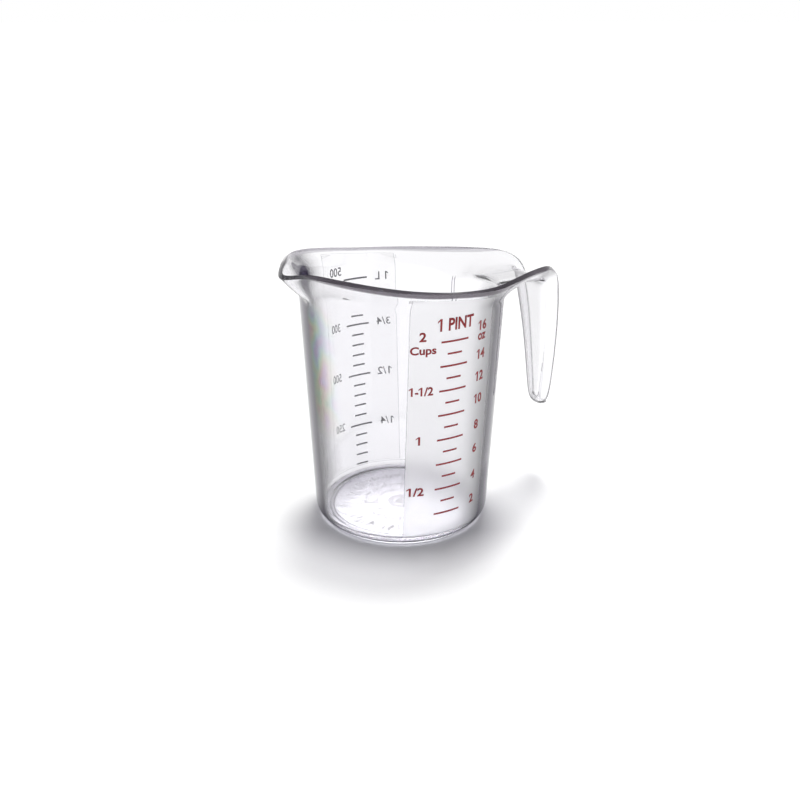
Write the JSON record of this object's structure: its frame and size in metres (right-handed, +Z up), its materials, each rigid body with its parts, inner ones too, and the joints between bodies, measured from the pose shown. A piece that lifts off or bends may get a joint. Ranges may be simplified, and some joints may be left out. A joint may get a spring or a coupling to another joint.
{
  "type": "measuring and mixing cup",
  "caption": "Clear one-piece measuring and mixing cup with a pour spout, a trough-shaped hanging handle and printed volume scales.",
  "frame": {"origin": "centre of the foot, on the table, on the axis of the cup's tapered body", "axes": "+Z up along the body's axis, +X towards the handle, -X towards the spout, -Y towards the red ounce scale"},
  "size_m": [0.1385, 0.0914, 0.1217],
  "materials": {
    "clear_plastic": "clear polycarbonate, satin behind the printed scales",
    "red_ink": "printed ink",
    "blue_ink": "printed ink"
  },
  "bodies": {
    "root": {"cup_body": "clear_plastic", "trough_handle": "clear_plastic", "ounce_long_lines": "red_ink", "ounce_short_lines": "red_ink", "metric_long_lines": "blue_ink", "metric_short_lines": "blue_ink"}
  },
  "joints": []
}
